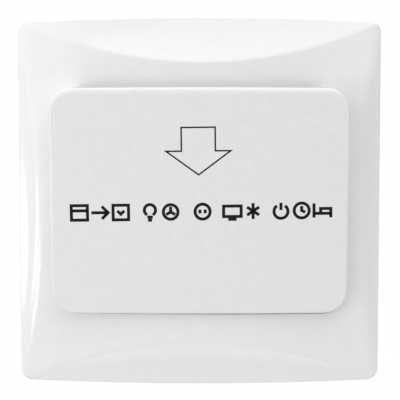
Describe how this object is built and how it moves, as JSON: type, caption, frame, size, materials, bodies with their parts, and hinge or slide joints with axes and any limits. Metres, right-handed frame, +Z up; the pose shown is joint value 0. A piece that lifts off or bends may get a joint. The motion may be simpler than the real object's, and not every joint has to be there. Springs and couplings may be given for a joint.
{
  "type": "hotel key card switch",
  "caption": "Wall key card switch: square cushion-shaped plate with a raised satin card pocket open at its top, a card-sensing lever behind it and a relay board in a rear box.",
  "frame": {"origin": "midway between the two wall fixing slots, on the wall plane", "axes": "+Z up, +X right seen from the front, +Y into the wall, so the front faces -Y"},
  "size_m": [0.086, 0.0409, 0.0882],
  "materials": {
    "plate_white": "gloss",
    "cover_white": "satin",
    "frame_grey": "matt",
    "box_dark": "matt",
    "screw_steel": "plated",
    "board_green": "lacquered glass fibre",
    "lever_white": "matt",
    "pin_steel": "ground",
    "plunger_red": "matt",
    "switch_black": "matt",
    "relay_blue": "matt",
    "film_yellow": "matt",
    "can_dark": "sleeved",
    "varistor_blue": "dipped",
    "fuse_brown": "matt",
    "epoxy_black": "moulded",
    "resistor_tan": "lacquered",
    "terminal_grey": "matt",
    "clamp_brass": "bright"
  },
  "bodies": {
    "switch": {"fascia": "plate_white", "card_cover": "cover_white", "mounting_frame": "frame_grey", "rear_housing": "box_dark", "flange_screws": "screw_steel", "circuit_board": "board_green", "board_screws": "screw_steel", "lever_pin": "pin_steel", "microswitch_case": "switch_black", "relay": "relay_blue", "film_capacitor": "film_yellow", "smoothing_capacitor": "can_dark", "varistor": "varistor_blue", "fuse": "fuse_brown", "bridge_rectifier": "epoxy_black", "timer_chip": "epoxy_black", "transistor": "epoxy_black", "bleed_resistor": "resistor_tan", "base_resistor": "resistor_tan", "terminal_block_live": "terminal_grey", "terminal_block_neutral": "terminal_grey", "terminal_block_load": "terminal_grey", "terminal_clamps": "clamp_brass", "terminal_screws": "screw_steel"},
    "lever": {"card_lever": "lever_white"},
    "plunger": {"switch_plunger": "plunger_red"}
  },
  "joints": [
    {"name": "lever_hinge", "type": "hinge", "parent": "switch", "child": "lever", "pos_m": [0, -0.0022, 0.004], "axis": [1, 0, 0], "range_deg": [0, 13], "stiffness_Nm_per_rad": 0.02, "springref_deg": -5.73},
    {"name": "plunger_slide", "type": "slide", "parent": "switch", "child": "plunger", "axis": [0, 1, 0], "range_m": [0, 0.0012]}
  ],
  "couplings": [
    {"joint": "plunger_slide", "follows": "lever_hinge", "m_per_rad": 0.005}
  ]
}
